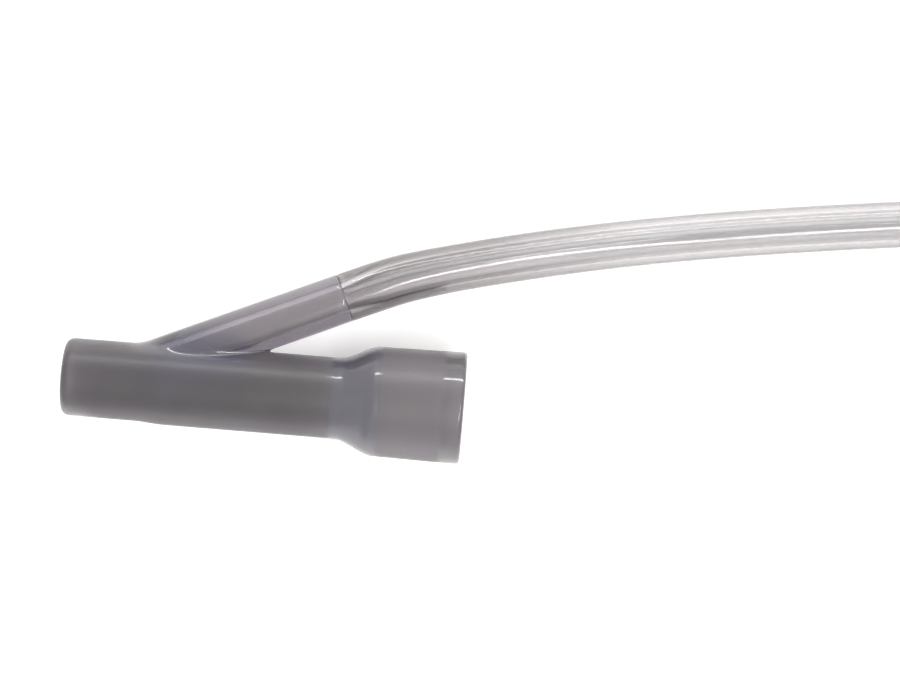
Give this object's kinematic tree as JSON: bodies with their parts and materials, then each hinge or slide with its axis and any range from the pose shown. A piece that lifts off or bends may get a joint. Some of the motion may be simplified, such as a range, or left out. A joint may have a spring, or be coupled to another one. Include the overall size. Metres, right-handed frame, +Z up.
{
  "type": "saliva ejector tip",
  "caption": "Bendable clear saliva ejector tube with a perforated tip, on a translucent Y adapter for a high-volume suction valve.",
  "frame": {"origin": "on the suction axis, at the inner end of the 11 mm valve spigot, where the run begins", "axes": "+X along the suction axis from the valve towards the cuff, +Y to the side that the branch and tube lean to, +Z up from the surface that the object lies on"},
  "size_m": [0.1793, 0.049, 0.0158],
  "materials": {
    "smoky_pvc": "translucent smoky grey-violet soft PVC, satin outside",
    "clear_pvc": "clear soft PVC, glossy",
    "wire": "drawn soft steel wire, embedded in the tube's wall",
    "soft_cap": "translucent white soft PVC"
  },
  "bodies": {
    "adapter": {"y_body": "smoky_pvc", "suction_tube": "clear_pvc", "shaping_wire": "wire"},
    "tip": {"tip_cap": "soft_cap"}
  },
  "joints": [
    {"name": "cap_pull", "type": "slide", "parent": "adapter", "child": "tip", "axis": [0.9964, 0.085, 0], "range_m": [0, 0.01]}
  ]
}
